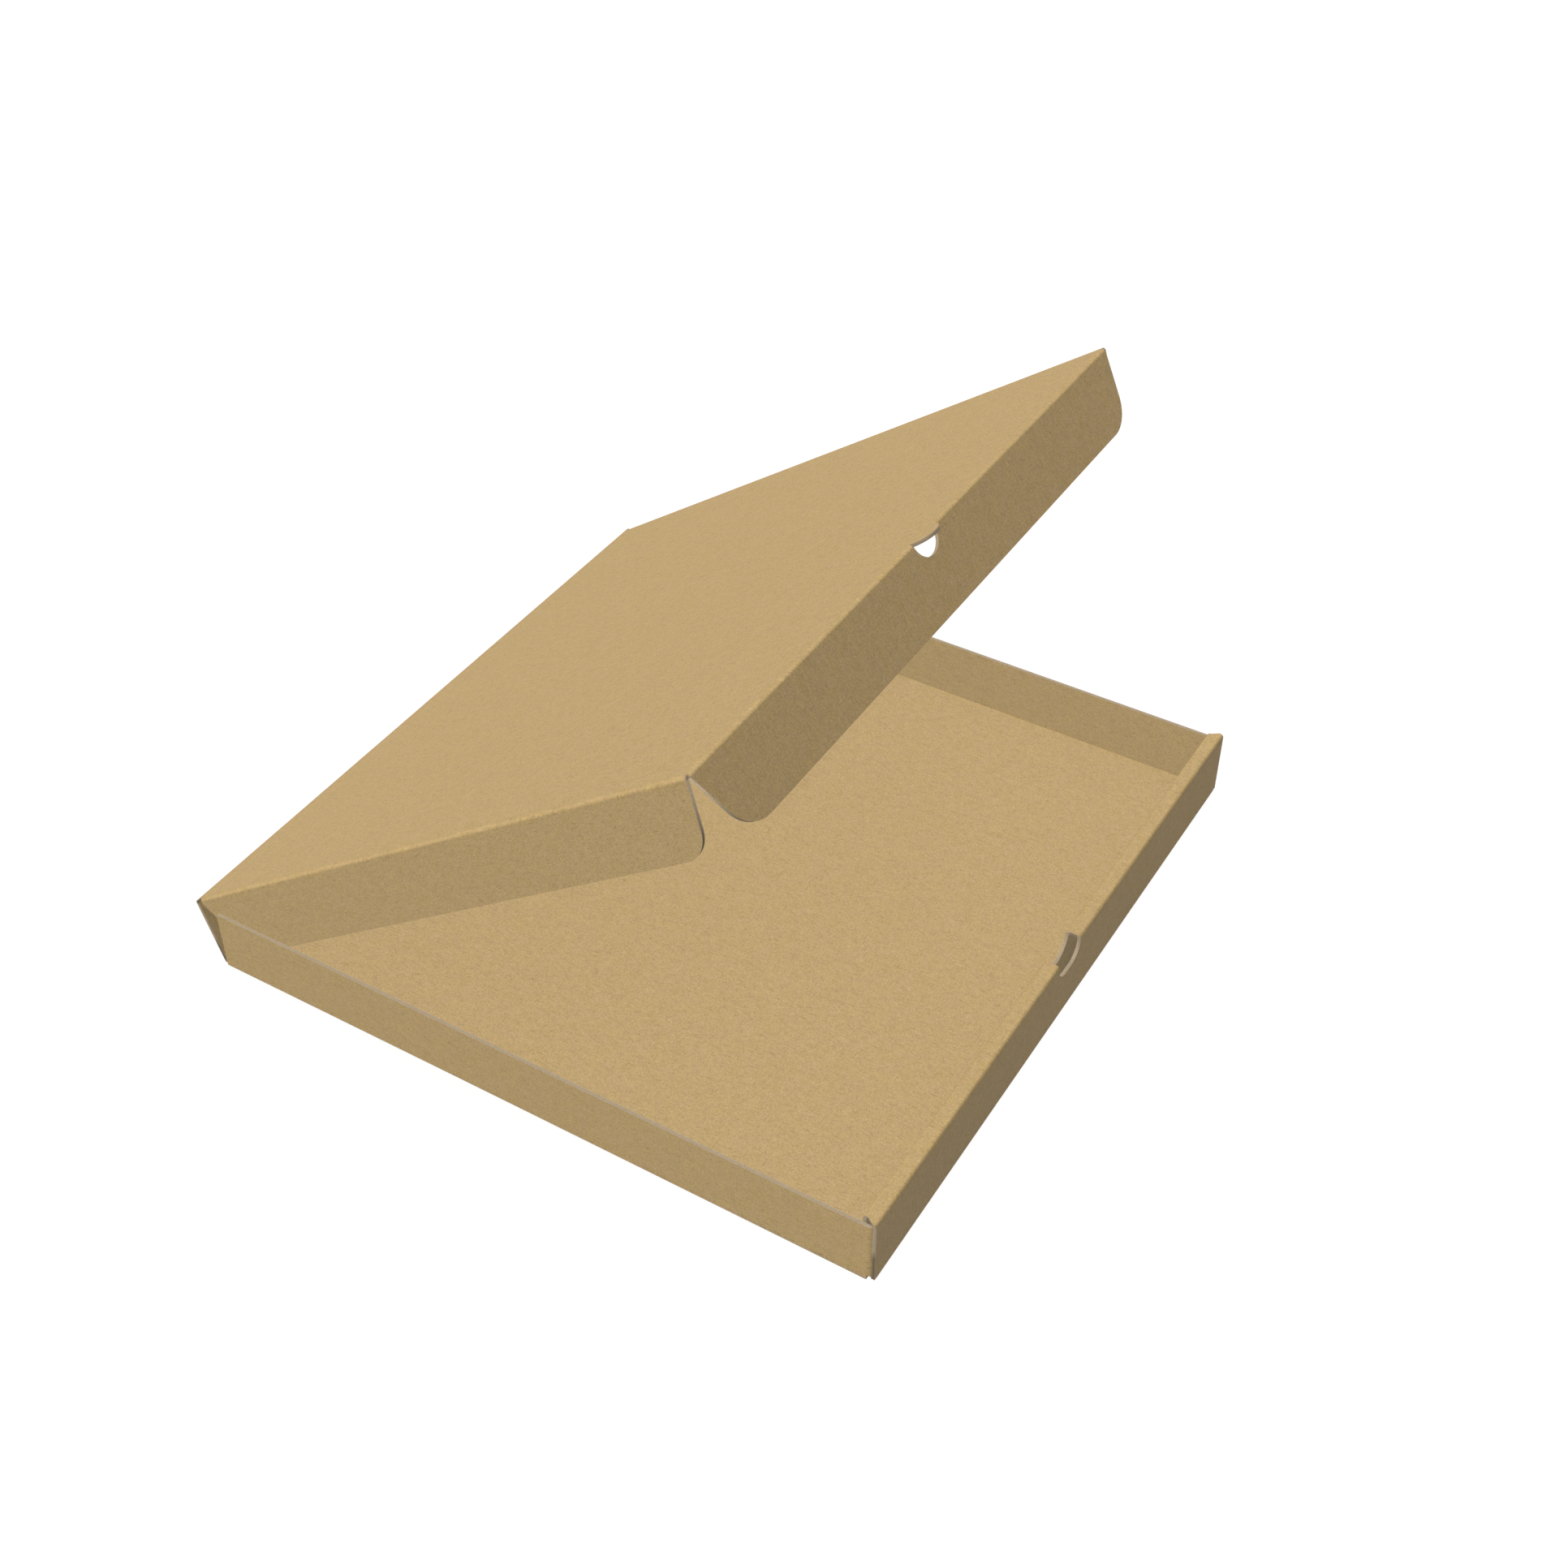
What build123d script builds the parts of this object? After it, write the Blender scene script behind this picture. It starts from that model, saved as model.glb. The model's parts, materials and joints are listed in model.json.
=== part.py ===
from build123d import *
import os
from math import cos, radians, sin, tan

# Pizza box folded from one die-cut sheet of board, with its lid standing open.
# Frame: origin at the centre of the closed box's footprint, on the underside, +Z up, front at -Y.
# Two creases of the sheet move: the foot of the back wall, and the lid's rear edge.

# Board and its folds
board = 1.8
crease_inner = 0.5
crease_outer = crease_inner + board
crease_middle = crease_inner + board / 2

# Closed box
tray_width = 400.0
tray_depth = 394.6
box_height = 42.0

# How far the box stands open, in degrees
back_lean = 17.3
lid_tilt = 35.7

# Tray walls and corner tabs
side_step = 3.8
rear_gap = 2.6
rim_width = 8.7
rim_side_gap = 1.0
inner_wall_gap = 0.2
tab_gap = 0.3
tab_length = 62.0
tab_corner = 9.0
tab_lift = 1.0

# Lock tabs of the double front wall, seated in slots of the base
lock_length = 46.0
lock_spacing = 210.0
lock_recess = 0.2
slot_gap = 0.25

# Thumb notch through the double front wall
notch_width = 24.6
notch_depth = 12.4
notch_corner = 9.5

# Lid and its flaps
lid_side_gap = 0.3
lid_front_gap = 2.4
flap_floor_gap = 2.1
side_flap_lift = 0.4
flap_corner = 20.0
front_flap_slant = 19.0
side_flap_slant = 21.0
front_flap_inset = 2.4
side_flap_front_inset = 1.1
side_flap_rear_inset = 2.0

# Thumb tab, cut as a half moon across the lid's front crease
thumb_radius = 10.0
thumb_cut = 0.5

# Moving creases: the gap round a crease, and how far it wraps on into its neighbour
hinge_gap = 0.3
hinge_wrap = 60.0

# Tray places that follow from the sizes above
front_y = -tray_depth / 2
hinge_y = tray_depth / 2 - crease_outer
hinge_cut = crease_outer + hinge_gap
base_half = tray_width / 2 - crease_outer
wall_x = tray_width / 2 - board / 2
side_height = box_height - side_step
rim_rear_y = front_y + rim_width
rim_bend_z = box_height - crease_outer
inner_wall_half = tray_width / 2 - board - rim_side_gap
tab_front_y = front_y + board + tab_gap
tab_bottom = board + tab_lift
side_front_y = tab_front_y + crease_outer
side_rear_y = hinge_y + crease_inner - rear_gap

# Lid places, measured from the hinge axis at its rear crease
lid_half = tray_width / 2 - board - lid_side_gap
lid_bend_x = lid_half - crease_outer
lid_reach = hinge_y - rim_rear_y - lid_front_gap
lid_bend_y = lid_reach - crease_outer
front_flap_drop = box_height - board - flap_floor_gap - crease_outer
side_flap_drop = front_flap_drop - side_flap_lift
half_bend = crease_middle * radians(45)

# The two moving creases: spacing of their axes, bends, and the frames of what turns about them
crease_spacing = box_height - 2 * crease_outer
back_bend = 90 - back_lean
lid_bend = 90 + back_lean - lid_tilt
back_frame = Plane(
    origin=(0, hinge_y, crease_outer),
    x_dir=(1, 0, 0),
    z_dir=(0, sin(radians(back_lean)), cos(radians(back_lean))),
)
lid_frame = Plane(
    origin=back_frame.from_local_coords((0, 0, crease_spacing)),
    x_dir=(1, 0, 0),
    z_dir=(0, sin(radians(lid_tilt)), cos(radians(lid_tilt))),
)


def in_frame(frame, plane):
    """A plane that is given in the terms of a frame."""
    return Plane(frame.location * plane.location)


def fold(centre, start_angle, sweep):
    """Section of the board where it bends round a centre."""
    with BuildLine() as section:
        inside = CenterArc(centre, crease_inner, start_angle, sweep)
        outside = CenterArc(centre, crease_outer, start_angle, sweep)
        Line(inside @ 0, outside @ 0)
        Line(inside @ 1, outside @ 1)
    make_face(section.edges())


def panel(low, high):
    """Rectangle between its lower left and upper right corners."""
    with Locations(((low[0] + high[0]) / 2, (low[1] + high[1]) / 2)):
        Rectangle(high[0] - low[0], high[1] - low[1])


def flap(start, end, drop, slant):
    """Flap that hangs from a crease, with slanted ends and rounded lower corners."""
    run = drop * tan(radians(slant))
    with BuildLine() as outline:
        Polyline((start, 0), (end, 0), (end - run, -drop), (start + run, -drop), close=True)
    make_face(outline.edges())
    fillet(vertices().group_by(Axis.Y)[0], flap_corner)


# Tray: base, side walls with corner tabs, and the double front wall
with BuildPart() as tray:
    # Base, with the slots for the lock tabs
    with BuildSketch():
        panel((-base_half, front_y + crease_outer), (base_half, hinge_y))
        with Locations((0, rim_rear_y - board / 2)):
            with GridLocations(lock_spacing, 0, 2, 1):
                Rectangle(lock_length + 2 * slot_gap, board + 2 * slot_gap, mode=Mode.SUBTRACT)
    extrude(amount=board)

    # Front creases: the foot of the outer wall, then both edges of the rim
    with BuildSketch(Plane.YZ):
        fold((front_y + crease_outer, crease_outer), 180, 90)
    extrude(amount=base_half, both=True)
    with BuildSketch(Plane.YZ):
        fold((front_y + crease_outer, rim_bend_z), 90, 90)
    extrude(amount=tray_width / 2, both=True)
    with BuildSketch(Plane.YZ):
        fold((rim_rear_y - crease_outer, rim_bend_z), 0, 90)
    extrude(amount=inner_wall_half, both=True)

    # Outer front wall
    with BuildSketch(Plane.XZ.offset(-front_y)):
        panel((-tray_width / 2, crease_outer), (tray_width / 2, rim_bend_z))
    extrude(amount=-board)

    # Rim, with slanted ends
    with BuildSketch(Plane.XY.offset(box_height)):
        with BuildLine():
            Polyline(
                (-tray_width / 2, front_y + crease_outer),
                (tray_width / 2, front_y + crease_outer),
                (inner_wall_half, rim_rear_y - crease_outer),
                (-inner_wall_half, rim_rear_y - crease_outer),
                close=True,
            )
        make_face()
    extrude(amount=-board)

    # Inner front wall, with the lock tabs on its lower edge
    with BuildSketch(Plane.XZ.offset(-rim_rear_y)):
        panel((-inner_wall_half, board + inner_wall_gap), (inner_wall_half, rim_bend_z))
        with GridLocations(lock_spacing, 0, 2, 1):
            panel((-lock_length / 2, lock_recess), (lock_length / 2, board + inner_wall_gap))
    extrude(amount=board)

    # Thumb notch: squarer in the outer wall, fully round in the inner wall
    with BuildSketch(Plane.XZ.offset(-front_y)):
        with Locations((0, box_height)):
            RectangleRounded(notch_width, 2 * notch_depth, notch_corner)
    extrude(amount=-rim_width / 2, mode=Mode.SUBTRACT)
    with BuildSketch(Plane.XZ.offset(-rim_rear_y)):
        with Locations((0, box_height - notch_depth + notch_width / 2)):
            Circle(notch_width / 2)
            Rectangle(notch_width, notch_width, align=(Align.CENTER, Align.MIN))
    extrude(amount=rim_width / 2, mode=Mode.SUBTRACT)

    for side in (-1, 1):
        # Side wall and its foot crease
        with BuildSketch(Plane.XZ.offset(-side_rear_y)):
            fold((side * base_half, crease_outer), 270, side * 90)
            panel((side * wall_x - board / 2, crease_outer), (side * wall_x + board / 2, side_height))
        extrude(amount=side_rear_y - side_front_y)

        # Corner tab, folded in behind the outer front wall
        with BuildSketch(Plane.XY.offset(tab_bottom)):
            fold((side * base_half, side_front_y), 270, side * 90)
        extrude(amount=side_height - tab_bottom)
        tab_x = side * (base_half - tab_length / 2)
        with BuildSketch(Plane.XZ.offset(-tab_front_y)):
            panel((tab_x - tab_length / 2, tab_bottom), (tab_x + tab_length / 2, side_height))
            fillet(vertices().sort_by(Axis.X, reverse=side < 0)[:2], tab_corner)
        extrude(amount=-board)

    # Room for the back wall's crease at the rear edge of the base
    with BuildSketch(Plane.YZ):
        with Locations((hinge_y, crease_outer)):
            Circle(hinge_cut)
    extrude(amount=lid_half + hinge_gap, both=True, mode=Mode.SUBTRACT)

# Back wall, leaning out, with its foot crease wrapped round the first axis
with BuildPart() as back_wall:
    with BuildSketch(in_frame(back_frame, Plane.YZ)):
        panel((crease_inner, 0), (crease_outer, crease_spacing))
        fold((0, 0), 0, -back_bend - hinge_wrap)
        with Locations((0, crease_spacing)):
            Circle(hinge_cut, mode=Mode.SUBTRACT)
    extrude(amount=lid_half, both=True)

# Lid: panel, front flap and side flaps, with its rear crease wrapped round the second axis
with BuildPart() as lid:
    # Panel, which has its full width only behind the side flaps
    with BuildSketch(lid_frame.offset(crease_inner)):
        panel((-lid_bend_x, -lid_bend_y), (lid_bend_x, 0))
        panel((-lid_half, -side_flap_rear_inset), (lid_half, 0))
    extrude(amount=board)

    # Rear crease
    with BuildSketch(in_frame(lid_frame, Plane.YZ)):
        fold((0, 0), 90, -lid_bend - hinge_wrap)
    extrude(amount=lid_half, both=True)

    # Front crease and front flap
    front_flap_half = lid_half - front_flap_inset
    with BuildSketch(in_frame(lid_frame, Plane.YZ)):
        fold((-lid_bend_y, 0), 90, 90)
    extrude(amount=front_flap_half, both=True)
    with BuildSketch(in_frame(lid_frame, Plane.XZ.offset(lid_reach))):
        flap(-front_flap_half, front_flap_half, front_flap_drop, front_flap_slant)
    extrude(amount=-board)

    # Side creases and side flaps
    side_flap_front = -lid_reach + side_flap_front_inset
    side_flap_length = -side_flap_rear_inset - side_flap_front
    for side in (-1, 1):
        with BuildSketch(in_frame(lid_frame, Plane.XZ.offset(side_flap_rear_inset))):
            fold((side * lid_bend_x, 0), 90, -side * 90)
        extrude(amount=side_flap_length)
        with BuildSketch(in_frame(lid_frame, Plane.YZ.offset(side * lid_half))):
            flap(side_flap_front, -side_flap_rear_inset, side_flap_drop, side_flap_slant)
        extrude(amount=-side * board)

    # Half moon cut from the crease and the flap, and the thumb tab that it leaves on the panel
    with BuildSketch(in_frame(lid_frame, Plane.XZ.offset(lid_reach))):
        with Locations((0, half_bend)):
            Circle(thumb_radius)
    extrude(amount=-crease_outer, mode=Mode.SUBTRACT)
    with BuildSketch(lid_frame.offset(crease_inner)):
        with Locations((0, -lid_bend_y - half_bend)):
            Circle(thumb_radius - thumb_cut)
    extrude(amount=board)

os.makedirs("parts", exist_ok=True)
tray.part.label = "tray"
back_wall.part.label = "back_wall"
lid.part.label = "lid"
export_step(tray.part, "parts/tray.step")
export_step(back_wall.part, "parts/back_wall.step")
export_step(lid.part, "parts/lid.step")
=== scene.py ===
import json
from collections import namedtuple
from math import asin, atan2, cos, dist, hypot, inf, pi, radians, sin, tan

import bpy
from mathutils import Matrix, Vector
from mathutils.geometry import delaunay_2d_cdt


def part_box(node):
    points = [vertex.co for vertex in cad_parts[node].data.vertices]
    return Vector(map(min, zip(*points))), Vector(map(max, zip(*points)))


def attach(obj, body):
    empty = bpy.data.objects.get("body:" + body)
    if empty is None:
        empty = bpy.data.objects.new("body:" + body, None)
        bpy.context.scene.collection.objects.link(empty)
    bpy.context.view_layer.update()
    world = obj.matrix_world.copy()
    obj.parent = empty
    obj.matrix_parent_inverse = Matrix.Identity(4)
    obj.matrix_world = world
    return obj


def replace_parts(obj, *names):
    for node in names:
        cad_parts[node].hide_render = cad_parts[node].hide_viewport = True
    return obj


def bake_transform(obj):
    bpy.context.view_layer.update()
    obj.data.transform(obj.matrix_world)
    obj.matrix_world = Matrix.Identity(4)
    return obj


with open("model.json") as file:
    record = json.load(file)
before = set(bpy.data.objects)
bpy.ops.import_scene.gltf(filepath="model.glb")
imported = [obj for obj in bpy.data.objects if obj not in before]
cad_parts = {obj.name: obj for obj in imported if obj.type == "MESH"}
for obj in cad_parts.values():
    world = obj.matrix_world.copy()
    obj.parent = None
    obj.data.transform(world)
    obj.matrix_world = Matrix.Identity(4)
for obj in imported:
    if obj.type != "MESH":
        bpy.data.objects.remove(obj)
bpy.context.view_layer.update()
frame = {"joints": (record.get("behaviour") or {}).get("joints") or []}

# The pizza box is modelled as it is made: flat outlines of the die-cut sheet, folded along their creases.
# A point of the sheet is (u, v). u runs across the box, as X does. v runs along the sheet from the lock tabs
# of the front wall, over the base and the back wall, to the front flap of the lid.
# On the base, v is Y. In every other piece it starts at zero where that piece joins the one before.
# Lengths are in metres.

# What the frame gives, with the axis of each moving crease as its Y and Z
joints = {joint["name"]: joint for joint in frame["joints"]}
tray_low, tray_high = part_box("tray")
lid_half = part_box("lid")[1].x
tray_half = tray_high.x
front_y = tray_low.y
box_height = tray_high.z
foot_axis = joints["back_wall_fold"]["pos_m"][1:]
lid_axis = joints["lid_fold"]["pos_m"][1:]
hinge_y = foot_axis[0]
crease_spacing = dist(foot_axis, lid_axis)
back_lean = -radians(joints["back_wall_fold"]["range_deg"][0])
lid_tilt = back_lean - radians(joints["lid_fold"]["range_deg"][0])

# Board and its folds
board = 0.0018
half_board = board / 2
right_angle = radians(90)
crease_inner = 0.0005
crease_outer = crease_inner + board
crease_middle = crease_inner + half_board
quarter_fold = crease_middle * right_angle

# Tray walls and corner tabs
side_step = 0.0038
rear_gap = 0.0026
rim_width = 0.0087
rim_side_gap = 0.001
inner_wall_gap = 0.0002
tab_gap = 0.0003
tab_length = 0.062
tab_corner = 0.009
tab_lift = 0.001

# Lock tabs of the front wall with their slots in the base, and the thumb notch
lock_length = 0.046
lock_spacing = 0.21
lock_recess = 0.0002
slot_gap = 0.00025
notch_half = 0.0123
notch_depth = 0.0124
notch_corner = 0.0095

# Lid and its flaps
lid_front_gap = 0.0024
flap_floor_gap = 0.0021
side_flap_lift = 0.0004
flap_corner = 0.02
front_flap_slant = radians(19)
side_flap_slant = radians(21)
front_flap_inset = 0.0024
side_flap_front_inset = 0.0011
side_flap_rear_inset = 0.002
thumb_radius = 0.01
thumb_cut = 0.00053

# Fineness of the meshes
arc_step = radians(3)
fold_steps = 10
merge_distance = 1e-6

# Small forms of the board: its liners, the core between them, its creases, and the cuts between panels
liner = 0.00028
core_recess = 0.00015
edge_rounding = 0.6
crease_dip = 0.00002
crease_fade = 0.0016
crease_sharpness = 1.3
slit = 0.0001
seam_gap = 0.00002

# Light and shade painted on the cut edges: a paleness from 0, painted shade, to 1, painted light, and the
# choice of the palest colour, from dull to bright, a brighter painted highlight
dull = 0.0
bright = 1.0
rim_notch_painted_light = 0.35
thumb_tab_painted_light = 0.65
crease_end_painted_light = 0.8

# Shares of a wall's height, or of a flap's drop, at which a cut edge is dark with painted shade and at which
# it is pale with painted light
wall_painted_shade_fade = (0.42, 0.55)
back_painted_shade_fade = (0.27, 0.4)
flap_painted_shade_fade = (0.8, 0.2)

# A crease of the flat sheet: a band of u or of v, from start to end, that runs from low to high in the other
Crease = namedtuple("Crease", "across start end low high")
across_u = 0
across_v = 1

# A vertex of a folded sheet: where it is, its place on the whole flat sheet, and what its looks depend on,
# with the light and shade painted on its cut edges
Vertex = namedtuple("Vertex", "point normal blank crease along paleness")


def roll(distance, stretches):
    """Follow a strip of board that starts along +x and turns left. Each stretch has a length and a turn."""
    x = y = heading = 0.0
    for length, turn in stretches:
        step = min(distance, length)
        if turn:
            radius = length / turn
            bend = step / radius
            x += radius * (sin(heading + bend) - sin(heading))
            y += radius * (cos(heading) - cos(heading + bend))
            heading += bend
        else:
            x += step * cos(heading)
            y += step * sin(heading)
        distance -= step
        if distance <= 0:
            break
    return x, y, heading


def rounded(corners):
    """Closed outline through corners (u, v, radius), each rounded by its radius."""
    points = []
    for i, (u, v, radius) in enumerate(corners):
        here = Vector((u, v))
        if not radius:
            points.append(here)
            continue
        back = (Vector(corners[i - 1][:2]) - here).normalized()
        ahead = (Vector(corners[(i + 1) % len(corners)][:2]) - here).normalized()
        half = back.angle(ahead) / 2
        centre = here + (back + ahead).normalized() * (radius / sin(half))
        first = here + back * (radius / tan(half)) - centre
        last = here + ahead * (radius / tan(half)) - centre
        start = atan2(first.y, first.x)
        sweep = (atan2(last.y, last.x) - start + pi) % (2 * pi) - pi
        count = max(2, round(abs(sweep) / arc_step))
        for k in range(count + 1):
            angle = start + sweep * k / count
            points.append(centre + Vector((cos(angle), sin(angle))) * radius)
    return points


def mirrored(corners):
    """The corners of the right half, then those of the left half."""
    return corners + [(-u, v, radius) for u, v, radius in reversed(corners)]


def rectangle(half_width, start, end, centre=0.0):
    """Closed outline between two places along v."""
    right = centre + half_width
    left = centre - half_width
    return [Vector(corner) for corner in ((right, start), (right, end), (left, end), (left, start))]


def inside(point, loops):
    """Whether a point of the sheet lies inside the outline and outside its holes."""
    u, v = point
    crossings = 0
    for loop in loops:
        for start, end in zip(loop, loop[1:] + loop[:1]):
            if (start.y > v) != (end.y > v):
                crossings += u < start.x + (v - start.y) * (end.x - start.x) / (end.y - start.y)
    return crossings % 2 == 1


def fold_lines(creases):
    """Lines of the flat sheet along which the mesh may bend."""
    lines = []
    for crease in creases:
        rows = [crease.start - crease_fade, crease.end + crease_fade]
        rows += [crease.start + (crease.end - crease.start) * k / fold_steps for k in range(fold_steps + 1)]
        for row in rows:
            ends = ((row, crease.low), (row, crease.high))
            lines.append([Vector(end if crease.across == across_u else end[::-1]) for end in ends])
    return lines


def place_by(point, crease):
    """A point's place across a crease and along it, and whether the crease runs as far as that."""
    place, run = point[crease.across], point[1 - crease.across]
    return place, run, crease.low - merge_distance <= run <= crease.high + merge_distance


def crease_at(point, creases):
    """How much a point belongs to a crease, from 0 to 1, and its place along that crease."""
    best, along = 0.0, 0.0
    for crease in creases:
        place, run, within = place_by(point, crease)
        off = max(crease.start - place, place - crease.end, 0)
        amount = max(0.0, 1 - off / crease_fade)
        if within and amount > best:
            best, along = amount, run
    return best, along


def pressed(point, creases):
    """The place whose normal a point shows, as the turn of a crease is pressed towards its middle line."""
    shown = list(point)
    for crease in creases:
        place, _, within = place_by(point, crease)
        if within and crease.start < place < crease.end:
            middle = (crease.start + crease.end) / 2
            turned = middle + (place - middle) * crease_sharpness
            shown[crease.across] = min(crease.end, max(crease.start, turned))
    return shown


def triangles(loops, creases):
    """Triangulate the flat sheet between its outline and holes, with edges along its creases."""
    points, edges = [], []
    for loop in loops:
        first = len(points)
        points += loop
        edges += [(first + k, first + (k + 1) % len(loop)) for k in range(len(loop))]
    for line in fold_lines(creases):
        edges.append((len(points), len(points) + 1))
        points += line
    flat, _, faces, *_ = delaunay_2d_cdt(points, edges, [], 0, merge_distance)
    kept = []
    for face in faces:
        corners = [flat[k] for k in face]
        if inside((corners[0] + corners[1] + corners[2]) / 3, loops):
            turn = (corners[1] - corners[0]).cross(corners[2] - corners[0])
            kept.append(tuple(face) if turn > 0 else tuple(reversed(face)))
    return flat, kept


def border_of(faces):
    """The edges that one face alone has."""
    sides = {(a, b) for face in faces for a, b in zip(face, face[1:] + face[:1])}
    return [(a, b) for a, b in sides if (b, a) not in sides]


def ways_out(flat, border):
    """The direction that leads out of the sheet at each point of its border."""
    ways = {}
    for a, b in border:
        run = (flat[b] - flat[a]).normalized()
        for k in (a, b):
            ways[k] = ways.get(k, Vector((0, 0))) + Vector((run.y, -run.x))
    return {k: way.normalized() for k, way in ways.items()}


def store_numbers(mesh, title, numbers):
    mesh.attributes.new(title, "FLOAT", "POINT").data.foreach_set("value", numbers)


def store_vectors(mesh, title, vectors):
    parts = [part for vector in vectors for part in vector]
    mesh.attributes.new(title, "FLOAT_VECTOR", "POINT").data.foreach_set("vector", parts)


def add_object(name, data):
    made = bpy.data.objects.new(name, data)
    bpy.context.scene.collection.objects.link(made)
    return made


def sheet(name, loops, creases, place, pale, start_v, seams=()):
    """Fold a flat outline into a solid piece of board.

    place gives the middle of the board and its outward normal at (u, v). pale gives the light and shade
    painted on a cut edge
    there: how pale it is and how bright its palest colour is, where less than 0 counts as 0 and more than 1
    as 1.
    start_v is the place on the whole flat sheet at which the piece's v is zero. At a seam, which is a place
    along v, the piece goes on in its neighbour, and its core isn't set back.
    """
    flat, faces = triangles(loops, creases)
    border = border_of(faces)
    ways = ways_out(flat, border)
    vertices = []

    def add_vertex(k, height, recess=0.0):
        u, v = flat[k]
        if recess and not any(abs(v - seam) < merge_distance for seam in seams):
            u, v = flat[k] - ways[k] * recess
        middle, normal = place(u, v)
        amount, along = crease_at(flat[k], creases)
        vertices.append(Vertex(
            point=middle + normal * (height - crease_dip * amount),
            normal=place(*pressed(flat[k], creases))[1],
            blank=(u, start_v + v, height),
            crease=amount,
            along=along,
            paleness=(*pale(*flat[k]), 0.0),
        ))
        return len(vertices) - 1

    used = sorted({k for face in faces for k in face})
    rows = [
        {k: add_vertex(k, half_board) for k in used},
        {k: add_vertex(k, half_board - liner, core_recess) for k in ways},
        {k: add_vertex(k, liner - half_board, core_recess) for k in ways},
        {k: add_vertex(k, -half_board) for k in used},
    ]
    outer = [tuple(rows[0][k] for k in reversed(face)) for face in faces]
    inner = [tuple(rows[-1][k] for k in face) for face in faces]
    walls = []
    for upper, lower in zip(rows, rows[1:]):
        walls += [(upper[a], upper[b], lower[b], lower[a]) for a, b in border]

    mesh = bpy.data.meshes.new(name)
    mesh.from_pydata([vertex.point for vertex in vertices], [], outer + inner + walls)
    store_vectors(mesh, "blank", [vertex.blank for vertex in vertices])
    store_numbers(mesh, "crease", [vertex.crease for vertex in vertices])
    store_numbers(mesh, "along", [vertex.along for vertex in vertices])
    # Light and shade painted on the cut edges
    store_vectors(mesh, "paleness", [vertex.paleness for vertex in vertices])
    mesh.materials.append(kraft)
    mesh.materials.append(cut_edge)
    surface_count = len(outer) + len(inner)
    mesh.polygons.foreach_set("material_index", [0] * surface_count + [1] * len(walls))
    mesh.polygons.foreach_set("use_smooth", [True] * surface_count + [False] * len(walls))

    normals = [vertices[k].normal for face in outer for k in face]
    normals += [-vertices[k].normal for face in inner for k in face]
    for wall in mesh.polygons[surface_count:]:
        for k in wall.vertices:
            lean = edge_rounding * vertices[k].blank[2] / half_board
            normals.append((wall.normal + vertices[k].normal * lean).normalized())
    mesh.normals_split_custom_set(normals)
    mesh.validate()
    piece = add_object(name, mesh)
    return piece


def set_inputs(tree, made, inputs):
    """Set the inputs of a shader node to values, or link sockets to them."""
    for key, value in inputs.items():
        if isinstance(value, bpy.types.NodeSocket):
            tree.links.new(value, made.inputs[key])
        else:
            made.inputs[key].default_value = value


def node(tree, kind, inputs, **settings):
    """Add a shader node with its settings and inputs, and give its outputs."""
    made = tree.nodes.new(kind)
    for key, value in settings.items():
        setattr(made, key, value)
    set_inputs(tree, made, inputs)
    return made.outputs


def colour(red, green, blue):
    """A colour of the screen, 0 to 255, as linear light by the sRGB curve."""
    return tuple(((c / 255 + 0.055) / 1.055) ** 2.4 for c in (red, green, blue)) + (1.0,)


def material(name):
    """A new material, its node tree and its Principled shader."""
    made = bpy.data.materials.new(name)
    made.use_nodes = True
    return made, made.node_tree, made.node_tree.nodes["Principled BSDF"]


def attribute(tree, name, output):
    return node(tree, "ShaderNodeAttribute", {}, attribute_name=name)[output]


def split_vector(tree, vector):
    return node(tree, "ShaderNodeSeparateXYZ", {"Vector": vector})


def noise(tree, place, cells, detail, roughness=0.5, distortion=0.0):
    """Noise on the flat sheet, with its cells per metre across, along and through the board."""
    scaled = node(tree, "ShaderNodeVectorMath", {0: place, 1: cells}, operation="MULTIPLY")[0]
    return node(tree, "ShaderNodeTexNoise", {
        "Vector": scaled, "Scale": 1.0, "Detail": detail, "Roughness": roughness, "Distortion": distortion,
    })[0]


def noise_along(tree, distance, cells, detail):
    """Noise along one direction alone, with its cells per metre."""
    values = {"W": arithmetic(tree, "MULTIPLY", distance, cells), "Scale": 1.0, "Detail": detail}
    return node(tree, "ShaderNodeTexNoise", values, noise_dimensions="1D")[0]


def ramp(tree, factor, levels=(0.0, 1.0), start=0.0, end=1.0):
    """Turn a factor that goes from the first level to the second into one from start to end."""
    values = {"Value": factor, "From Min": levels[0], "From Max": levels[1], "To Min": start, "To Max": end}
    return node(tree, "ShaderNodeMapRange", values, clamp=True)[0]


def blend(tree, factor, first, second, kind="MIX"):
    """Mix two colours. The node's inputs and output for colours are those numbered here."""
    inputs = {0: factor, 6: first, 7: second}
    return node(tree, "ShaderNodeMix", inputs, data_type="RGBA", blend_type=kind)[2]


def arithmetic(tree, operation, first, second=0.0):
    return node(tree, "ShaderNodeMath", {0: first, 1: second}, operation=operation)[0]


def total(tree, layers):
    """The sum of layers, each times its share."""
    result = 0.0
    for layer, share in layers:
        result = arithmetic(tree, "ADD", result, arithmetic(tree, "MULTIPLY", layer, share))
    return result


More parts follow.
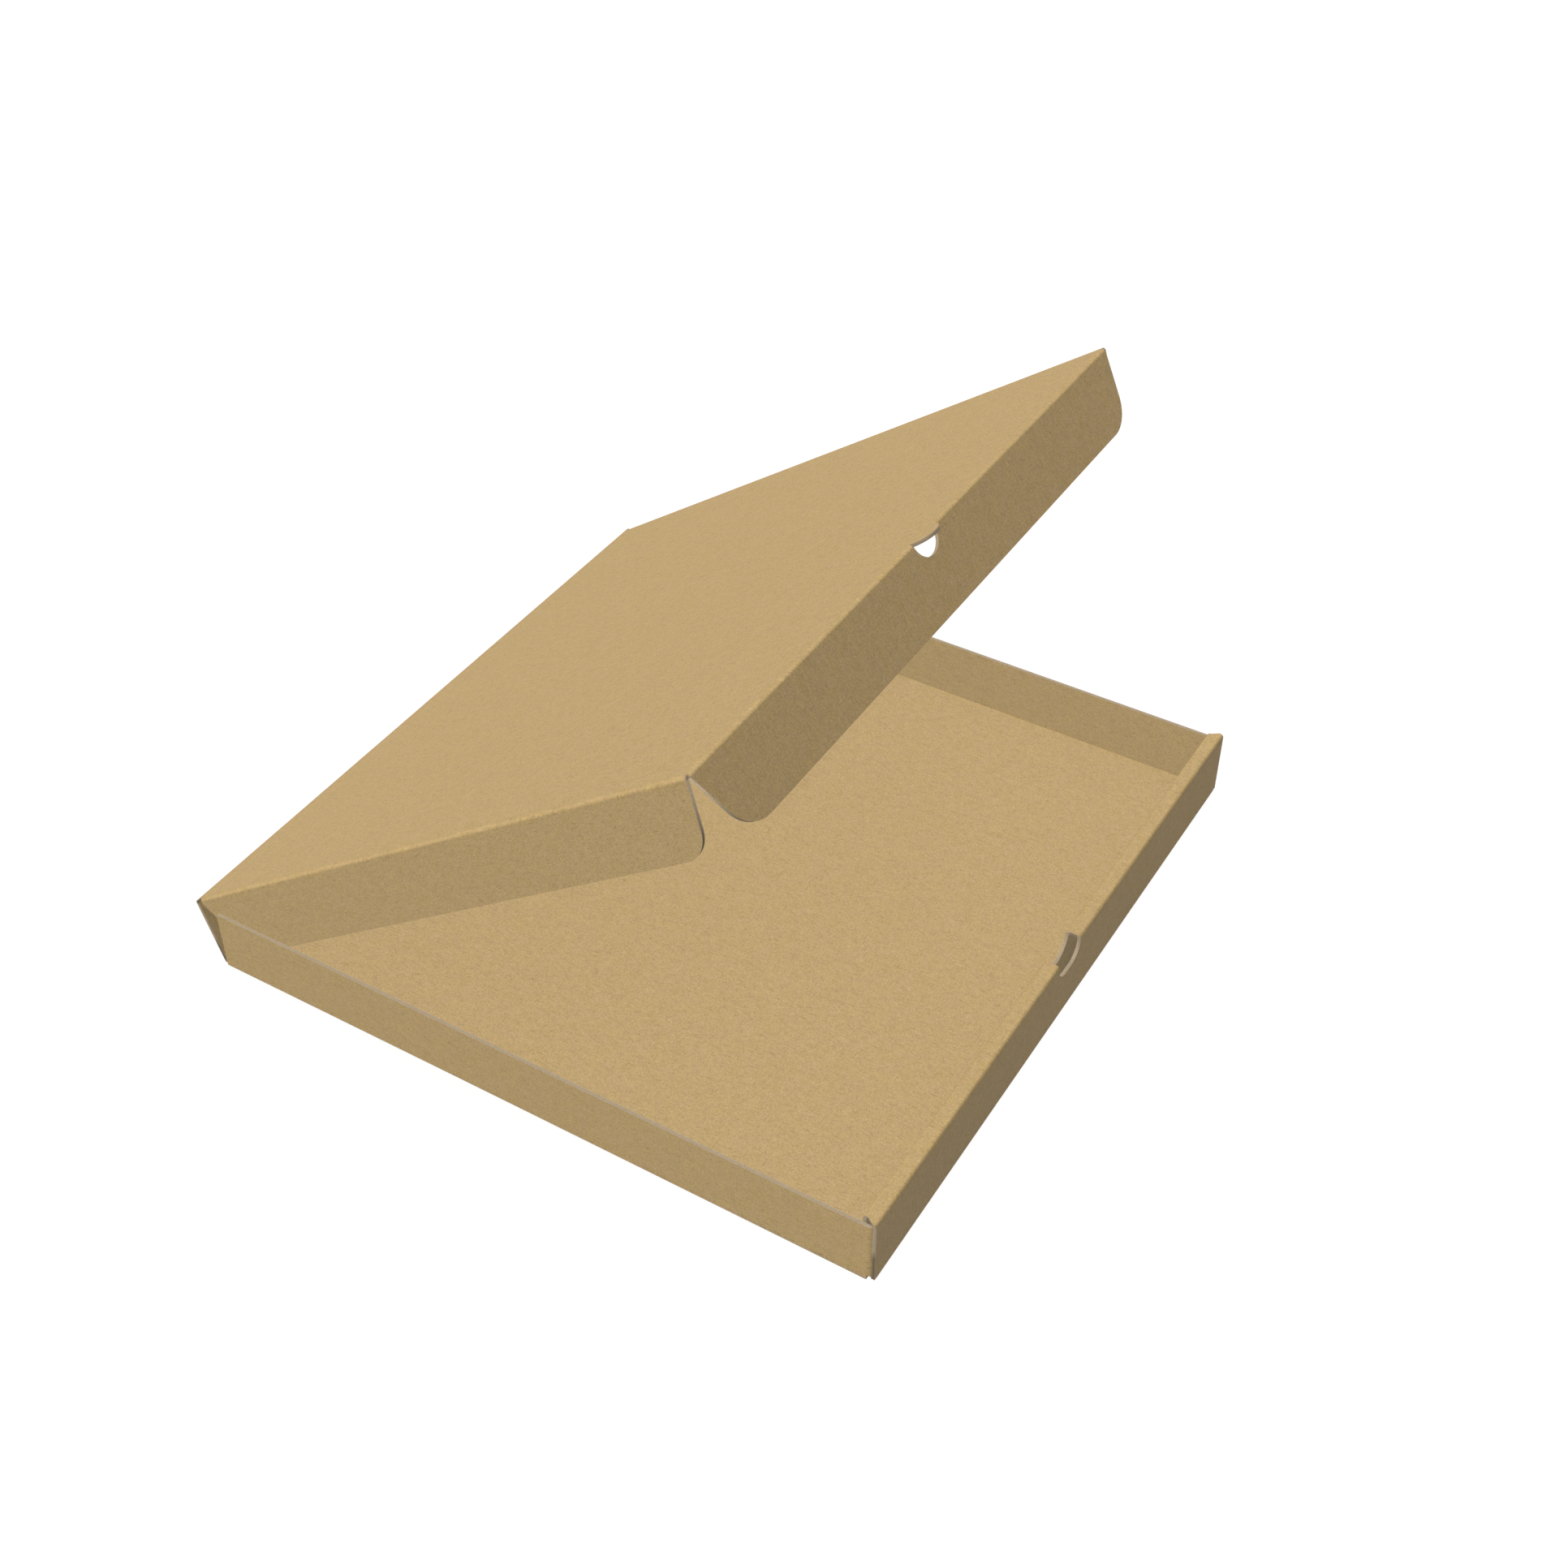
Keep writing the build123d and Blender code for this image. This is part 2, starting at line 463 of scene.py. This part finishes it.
def kraft_material():
    """Brown kraft liner: fine grain, short dark fibres along v, faint cloudiness and ribbed creases, with a
    warm painted highlight on the creases.
    """
    made, tree, shader = material("kraft")
    place = attribute(tree, "blank", "Vector")
    crease = attribute(tree, "crease", "Fac")
    along = attribute(tree, "along", "Fac")

    grain = noise(tree, place, (1150, 950, 1000), detail=4, roughness=0.7)
    streaks = noise(tree, place, (850, 230, 850), detail=3, roughness=0.6, distortion=0.7)
    mottle = noise(tree, place, (400, 290, 400), detail=2)
    clouds = noise(tree, place, (110, 80, 110), detail=2)
    speckle = total(tree, ((grain, 0.95), (streaks, 0.28), (mottle, 0.18), (clouds, 0.05)))
    speckle_levels = (0.48, 0.98)
    hues = noise(tree, place, (150, 130, 151), detail=1)
    hue_levels = (0.35, 0.65)
    fibres = noise(tree, place, (1500, 170, 900), detail=3, roughness=0.6)
    fibre_levels = (0.63, 0.7)
    dashes = ramp(tree, fibres, fibre_levels)

    ribs = noise_along(tree, along, 700.0, detail=2)
    rib_levels = (0.4, 0.65)
    patches = noise_along(tree, along, 45.0, detail=1)
    patch_levels = (0.45, 0.65)
    ribs_between_patches = 0.1
    ribbing = arithmetic(tree, "MULTIPLY", crease, ramp(tree, ribs, rib_levels))
    ribbing = arithmetic(tree, "MULTIPLY", ribbing, ramp(tree, patches, patch_levels, ribs_between_patches))

    dark = colour(171, 144, 101)
    light = colour(215, 185, 136)
    yellow_tinge = (1.0, 1.0, 0.93, 1.0)
    crease_painted_highlight = (1.02, 1.02, 0.97, 1.0)
    dash_colour = colour(120, 97, 62)
    dash_strength = 0.35
    rib_colour = colour(150, 122, 80)
    rib_strength = 0.22
    tint = blend(tree, ramp(tree, speckle, speckle_levels), dark, light)
    tint = blend(tree, ramp(tree, hues, hue_levels), tint, yellow_tinge, "MULTIPLY")
    # Painted highlight: creases a little paler and warmer
    tint = blend(tree, crease, tint, crease_painted_highlight, "MULTIPLY")
    tint = blend(tree, arithmetic(tree, "MULTIPLY", dashes, dash_strength), tint, dash_colour)
    tint = blend(tree, arithmetic(tree, "MULTIPLY", ribbing, rib_strength), tint, rib_colour)

    relief = total(tree, ((grain, 1.0), (dashes, -0.3), (ribbing, -0.6)))
    bump = node(tree, "ShaderNodeBump", {"Strength": 0.45, "Distance": 0.0002, "Height": relief})[0]
    set_inputs(tree, shader, {
        "Base Color": tint, "Normal": bump, "Roughness": 0.9, "Specular IOR Level": 0.15,
    })
    return made


def cut_edge_material():
    """Cut edge of the board: greyish, with its two liners as fine pale lines and the flutes between them, and
    with light and shade painted on it, from dark to pale.
    """
    made, tree, shader = material("cut_edge")
    place = attribute(tree, "blank", "Vector")
    paleness, painted_brightness, _ = split_vector(tree, attribute(tree, "paleness", "Vector"))
    off_middle = arithmetic(tree, "ABSOLUTE", split_vector(tree, place)[2])
    liner_levels = (half_board - 2 * liner, half_board - liner)
    liner_strength = 0.15
    grain = noise(tree, place, (1500, 1500, 3000), detail=3)
    grain_levels = (0.35, 0.65)
    grain_strength = 0.3

    # dark is painted shade and pale painted light; palest is a brighter painted highlight, and also the
    # colour of the liners' pale lines
    dark = colour(122, 109, 87)
    pale = colour(182, 164, 137)
    palest = colour(230, 206, 172)
    grain_colour = colour(120, 104, 80)
    # Painted light and shade: from dark to pale, and towards the palest colour, a brighter painted highlight
    tint = blend(tree, ramp(tree, paleness), dark, blend(tree, painted_brightness, pale, palest))
    tint = blend(tree, ramp(tree, off_middle, liner_levels, end=liner_strength), tint, palest)
    tint = blend(tree, ramp(tree, grain, grain_levels, end=grain_strength), tint, grain_colour)

    bump = node(tree, "ShaderNodeBump", {"Strength": 0.4, "Distance": 0.0001, "Height": grain})[0]
    set_inputs(tree, shader, {
        "Base Color": tint, "Normal": bump, "Roughness": 0.95, "Specular IOR Level": 0.1,
    })
    return made


kraft = kraft_material()
cut_edge = cut_edge_material()

# Stretches of board that several pieces share
quarter_turn = (quarter_fold, right_angle)
straight_on = (inf, 0)
one_fold = (quarter_turn, straight_on)

# Tray: base, side walls and front wall, measured on the folded box
front_fold_y = front_y + crease_outer
rim_rear_y = front_y + rim_width
base_half = tray_half - crease_outer
inner_wall_half = tray_half - board - rim_side_gap
side_height = box_height - side_step
side_front_y = front_y + board + tab_gap + crease_outer
side_rear_y = hinge_y + crease_inner - rear_gap
tab_bottom = board + tab_lift
wall_run = box_height - 2 * crease_outer
rim_run = rim_width - 2 * crease_outer

# Front wall on the flat sheet. It folds up, back over the rim and down again.
wall_v = front_fold_y - quarter_fold
rim_v = wall_v - wall_run
rim_start_v = rim_v - quarter_fold
rim_end_v = rim_start_v - rim_run
inner_v = rim_end_v - quarter_fold
inner_end_v = inner_v - (box_height - crease_outer - board - inner_wall_gap)
lock_end_v = inner_v - (box_height - crease_outer - lock_recess)
front_folds = (quarter_turn, (wall_run, 0), quarter_turn, (rim_run, 0), quarter_turn, straight_on)

# Side walls on the flat sheet. They fold up, and their corner tabs fold in.
side_wall_u = base_half + quarter_fold
side_top_u = side_wall_u + side_height - crease_outer
tab_low_u = side_wall_u + tab_bottom - crease_outer
tab_v = side_front_y - quarter_fold
tab_end_v = tab_v - tab_length
between_wall_and_tab_u = (tray_half + tab_low_u) / 2


def tray_place(u, v):
    """Place and outward normal of a point of the base, the front wall, a side wall or a corner tab."""
    side = 1 if u > 0 else -1
    if v < side_front_y and abs(u) < between_wall_and_tab_u:
        x, y, heading = roll(max(0, front_fold_y - v), front_folds)
        point = Vector((u, max(v, front_fold_y) - x, half_board + y))
        return point, Vector((0, -sin(heading), -cos(heading)))
    x, y, heading = roll(max(0, abs(u) - base_half), one_fold)
    across = min(abs(u), base_half) + x
    height = half_board + y
    if v >= side_front_y:
        return Vector((side * across, v, height)), Vector((side * sin(heading), 0, -cos(heading)))
    x, y, heading = roll(side_front_y - v, one_fold)
    point = Vector((side * (across - y), side_front_y - x, height))
    return point, Vector((side * cos(heading), -sin(heading), 0))


def between(value, start, end):
    """How far a value is from start, 0, to end, 1."""
    return (value - start) / (end - start)


def tray_painted_edge_light(u, v):
    """Painted light and shade on the cut edges: the rim's ends are dark, the notch and the side walls pale,
    and all else is pale high up and dark low down.
    """
    in_notch = abs(u) < notch_half + merge_distance
    if rim_end_v - merge_distance < v < rim_start_v + merge_distance:
        return rim_notch_painted_light if in_notch else 0.0, dull
    if in_notch or abs(u) > side_wall_u and v > tab_v:
        return 1.0, dull
    return between(tray_place(u, v)[0].z / box_height, *wall_painted_shade_fade), dull


lock_near_u = (lock_spacing - lock_length) / 2
lock_far_u = (lock_spacing + lock_length) / 2
tray_outline = rounded(mirrored([
    (base_half, hinge_y, 0), (base_half, side_rear_y, 0), (side_top_u, side_rear_y, 0),
    (side_top_u, tab_end_v, tab_corner), (tab_low_u, tab_end_v, tab_corner),
    (tab_low_u, side_front_y, 0), (base_half, side_front_y, 0), (base_half, wall_v, 0),
    (tray_half, wall_v, 0), (tray_half, rim_start_v, 0), (inner_wall_half, rim_end_v, 0),
    (inner_wall_half, inner_end_v, 0), (lock_far_u, inner_end_v, 0), (lock_far_u, lock_end_v, 0),
    (lock_near_u, lock_end_v, 0), (lock_near_u, inner_end_v, 0),
]))

# The notch is squarer in the outer wall and fully round in the inner wall
notch_outer_v = rim_v + notch_depth - crease_outer
notch_inner_v = inner_v - notch_depth + crease_outer
notch_outline = rounded(mirrored([
    (notch_half, notch_outer_v, notch_corner), (notch_half, notch_inner_v, notch_half - merge_distance),
]))
tray_loops = [tray_outline, notch_outline]
tray_creases = [
    Crease(across_v, start - quarter_fold, start, -tray_half, tray_half)
    for start in (front_fold_y, rim_v, rim_end_v)
]
slot_half = lock_length / 2 + slot_gap
slot_rear = rim_rear_y + slot_gap
slot_front = rim_rear_y - board - slot_gap
for side in (-1, 1):
    tray_loops.append(rectangle(slot_half, slot_rear, slot_front, side * lock_spacing / 2))
    edges = sorted((side * base_half, side * side_wall_u))
    tray_creases.append(Crease(across_u, *edges, side_front_y, side_rear_y))
    edges = sorted((side * tab_low_u, side * side_top_u))
    tray_creases.append(Crease(across_v, tab_v, side_front_y, *edges))
tray_piece = sheet("tray_board", tray_loops, tray_creases, tray_place, tray_painted_edge_light, 0.0, (hinge_y,))
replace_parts(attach(tray_piece, "tray"), "tray")


# The strips' cut edges are all in painted shade
def edge_in_painted_shade(u, v):
    return 0.0, dull


def strip(name, axis, start_angle, end_angle, start_v):
    """A crease at a hinge, as a strip of board curved round the hinge's axis, between the pieces of two
    bodies.

    The angles are those of the outward normal at its two seams, measured from +Y towards +Z.
    It gives the place on the whole flat sheet where the strip ends.
    """
    run = crease_middle * (end_angle - start_angle)

    def strip_place(u, v):
        angle = start_angle + v / crease_middle
        normal = Vector((0, cos(angle), sin(angle)))
        return Vector((u, *axis)) + normal * crease_middle, normal

    crease = Crease(across_v, 0, run, -lid_half, lid_half)
    loops = [rectangle(lid_half, 0, run)]
    piece = sheet(name, loops, [crease], strip_place, edge_in_painted_shade, start_v, (0, run))
    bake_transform(piece)
    return start_v + run


# Crease at the foot of the back wall
back_start_v = strip(
    "back_wall_foot_crease", foot_axis, -right_angle, -back_lean, hinge_y
)


# Back wall
def back_place(u, v):
    up = Vector((0, sin(back_lean), cos(back_lean)))
    normal = Vector((0, cos(back_lean), -sin(back_lean)))
    return Vector((u, *foot_axis)) + up * v + normal * crease_middle, normal


# The back wall's cut edges: painted shade low down, painted light high up
def back_painted_edge_light(u, v):
    return between(v / crease_spacing, *back_painted_shade_fade), dull


# A hair short of its upper crease, so that it and the lid don't touch where that crease lies flat
back_top = crease_spacing - seam_gap
back_loops = [rectangle(lid_half, 0, back_top)]
back_piece = sheet("back_wall_board", back_loops, [], back_place, back_painted_edge_light, back_start_v, (0, back_top))
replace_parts(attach(back_piece, "back_wall"), "back_wall")

# Crease at the rear edge of the lid
lid_start_v = strip(
    "lid_rear_crease", lid_axis, -back_lean, right_angle - lid_tilt,
    back_start_v + crease_spacing,
)

# Lid panel, its flaps and its thumb tab on the flat sheet
lid_reach = hinge_y - rim_rear_y - lid_front_gap
lid_fold_u = lid_half - crease_outer
lid_fold_v = lid_reach - crease_outer
side_flap_u = lid_fold_u + quarter_fold
flap_v = lid_fold_v + quarter_fold
front_flap_half = lid_half - front_flap_inset
front_flap_drop = box_height - board - flap_floor_gap - crease_outer
front_flap_run = front_flap_drop * tan(front_flap_slant)
side_flap_drop = front_flap_drop - side_flap_lift
side_flap_run = side_flap_drop * tan(side_flap_slant)
side_flap_end_u = side_flap_u + side_flap_drop
side_flap_front_v = lid_reach - side_flap_front_inset
slit_v = side_flap_rear_inset - slit
slit_middle_v = side_flap_rear_inset - slit / 2
half_moon_v = lid_fold_v + quarter_fold / 2
thumb_edge = thumb_radius - thumb_cut

# The lid's own frame has its origin on the lid's axis, with the panel's front towards -Y
lid_turn = Matrix.Rotation(-lid_tilt, 4, "X")
lid_frame = Matrix.Translation((0, *lid_axis)) @ lid_turn


def lid_place(u, v):
    """Place and outward normal of a point of the front flap, the panel, its thumb tab or a side flap."""
    side = 1 if u > 0 else -1
    on_thumb_tab = hypot(u, v - half_moon_v) < thumb_radius - thumb_cut / 2
    if v > lid_fold_v and abs(u) < (front_flap_half + lid_fold_u) / 2 and not on_thumb_tab:
        x, y, heading = roll(v - lid_fold_v, one_fold)
        point = Vector((u, -lid_fold_v - x, crease_middle - y))
        normal = Vector((0, -sin(heading), cos(heading)))
    else:
        beyond = max(0, abs(u) - lid_fold_u) if v > slit_middle_v else 0
        x, y, heading = roll(beyond, one_fold)
        point = Vector((side * (abs(u) - beyond + x), -v, crease_middle - y))
        normal = Vector((side * sin(heading), 0, cos(heading)))
    return lid_frame @ point, lid_turn @ normal


def lid_painted_edge_light(u, v):
    """Painted light and shade on the cut edges: the half moon and the creases' ends are pale, and a flap is
    pale by its crease and dark far from it.
    """
    off_tab = hypot(u, v - half_moon_v) - thumb_radius
    if off_tab < merge_distance:
        return thumb_tab_painted_light if off_tab < -thumb_cut / 2 else 1.0, dull
    if v < slit_middle_v:
        return 0.0, dull
    drop = max(v - flap_v, abs(u) - side_flap_u)
    if drop < -merge_distance:
        return crease_end_painted_light, dull
    # A flap's edge gets the brighter painted highlight
    return between(drop / front_flap_drop, *flap_painted_shade_fade), bright


def half_moon_slit():
    """The cut that frees the thumb tab: two arcs round one centre that end where the front crease starts."""
    points = []
    for radius, order in ((thumb_radius, 1), (thumb_edge, -1)):
        dip = -asin(quarter_fold / 2 / radius)
        sweep = pi - 2 * dip
        count = round(sweep / arc_step)
        angles = [dip + sweep * k / count for k in range(count + 1)][::order]
        points += [Vector((radius * cos(angle), half_moon_v + radius * sin(angle))) for angle in angles]
    return points


lid_outline = rounded(mirrored([
    (front_flap_half - front_flap_run, flap_v + front_flap_drop, flap_corner),
    (front_flap_half, flap_v, 0), (front_flap_half, lid_fold_v, 0), (lid_fold_u, lid_fold_v, 0),
    (lid_fold_u, side_flap_front_v, 0), (side_flap_u, side_flap_front_v, 0),
    (side_flap_end_u, side_flap_front_v - side_flap_run, flap_corner),
    (side_flap_end_u, side_flap_rear_inset + side_flap_run, flap_corner),
    (side_flap_u, side_flap_rear_inset, 0), (lid_fold_u, side_flap_rear_inset, 0),
    (lid_fold_u, slit_v, 0), (lid_half, slit_v, 0), (lid_half, 0, 0),
]))
lid_loops = [lid_outline, half_moon_slit()]
lid_creases = [Crease(across_v, lid_fold_v, flap_v, -front_flap_half, front_flap_half)]
for side in (-1, 1):
    edges = sorted((side * lid_fold_u, side * side_flap_u))
    lid_creases.append(Crease(across_u, *edges, side_flap_rear_inset, side_flap_front_v))
lid_piece = sheet("lid_board", lid_loops, lid_creases, lid_place, lid_painted_edge_light, lid_start_v, (0,))
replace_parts(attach(lid_piece, "lid"), "lid")

# Colours of the lamps, the floor and the background
white = (1.0, 1.0, 1.0)
cool = (0.7, 0.78, 1.0)
white_paint = (1.0, 1.0, 1.0, 1.0)


def seen(tree):
    """1 for what the camera sees, also in a mirror or through glass, and 0 for what only throws light."""
    path = node(tree, "ShaderNodeLightPath", {})
    reflected = arithmetic(tree, "MAXIMUM", path["Is Glossy Ray"], path["Is Transmission Ray"])
    return arithmetic(tree, "MAXIMUM", path["Is Camera Ray"], reflected)


def floor_material():
    """White as seen, and dark grey for the light that it throws back on the box."""
    made, tree, shader = material("floor")
    dark_grey = (0.12, 0.12, 0.12, 1.0)
    glow = 0.03
    shown = seen(tree)
    set_inputs(tree, shader, {
        "Base Color": blend(tree, shown, dark_grey, white_paint),
        "Emission Color": white_paint,
        "Emission Strength": ramp(tree, shown, end=glow),
        "Roughness": 1.0,
        "Specular IOR Level": 0.0,
    })
    return made


# Floor, a little below the box
floor_half = 30.0
floor_z = -0.0003
floor_corners = [Vector((*corner, floor_z)) for corner in rectangle(floor_half, -floor_half, floor_half)]
floor_mesh = bpy.data.meshes.new("floor")
floor_mesh.from_pydata(floor_corners, [], [(0, 1, 2, 3)])
floor_mesh.materials.append(floor_material())
floor = add_object("floor", floor_mesh)

# White background, and weak light from all round, which alone throws shadows
ambient = 0.08
world = bpy.data.worlds.new("studio")
world.use_nodes = True
sky = world.node_tree
sky_strength = ramp(sky, seen(sky), start=ambient)
set_inputs(sky, sky.nodes["Background"], {"Color": white_paint, "Strength": sky_strength})
bpy.context.scene.world = world

# Lamps, each as wide in the sky as this angle
lamp_spread = radians(20)


def lamp(name, direction, strength, hue=white):
    """A lamp far away that throws no shadow. At a strength of 1, white paint that faces it shows white."""
    light = bpy.data.lights.new(name, "SUN")
    light.energy = strength * pi
    light.color = hue
    light.angle = lamp_spread
    light.use_shadow = False
    light.cycles.max_bounces = 0
    add_object(name, light).rotation_euler = Vector(direction).to_track_quat("Z", "Y").to_euler()


lamp("key_lamp", (-0.3, 0.5, 0.8), 0.475)
lamp("top_lamp", (0, 0, 1), 0.4)
lamp("left_lamp", (-1, 0, 0.1), 0.385)
lamp("front_left_lamp", (-0.8, -0.6, 0), 0.158)
lamp("right_lamp", (1, -0.1, 0.2), 0.476)
lamp("low_front_lamp", (0, -1, -1.4), 0.35, cool)
lamp("low_rear_lamp", (0, 0.7, -0.5), 0.4)
lamp("under_lamp", (0, -0.2, -1), 0.086)

# Camera at the photograph's angle, with its distances measured from the point of the Y axis at view_y
view_azimuth = radians(-58.91)
view_elevation = radians(40.98)
view_distance = 1.20239
view_right = 0.02413
view_up = 0.04953
view_y = -0.0003
back = Vector((
    sin(view_azimuth) * cos(view_elevation), -cos(view_azimuth) * cos(view_elevation), sin(view_elevation),
))
right = Vector((cos(view_azimuth), sin(view_azimuth), 0))
up = back.cross(right)
view_point = right * view_right + up * view_up + back * view_distance + Vector((0, view_y, 0))
camera_data = bpy.data.cameras.new("camera")
camera_data.lens = 50
camera_data.sensor_width = 36
camera_data.sensor_fit = "HORIZONTAL"
camera = add_object("camera", camera_data)
camera.matrix_world = Matrix.Translation(view_point) @ Matrix((right, up, back)).transposed().to_4x4()
bpy.context.scene.camera = camera
bpy.context.scene.view_settings.view_transform = "Standard"
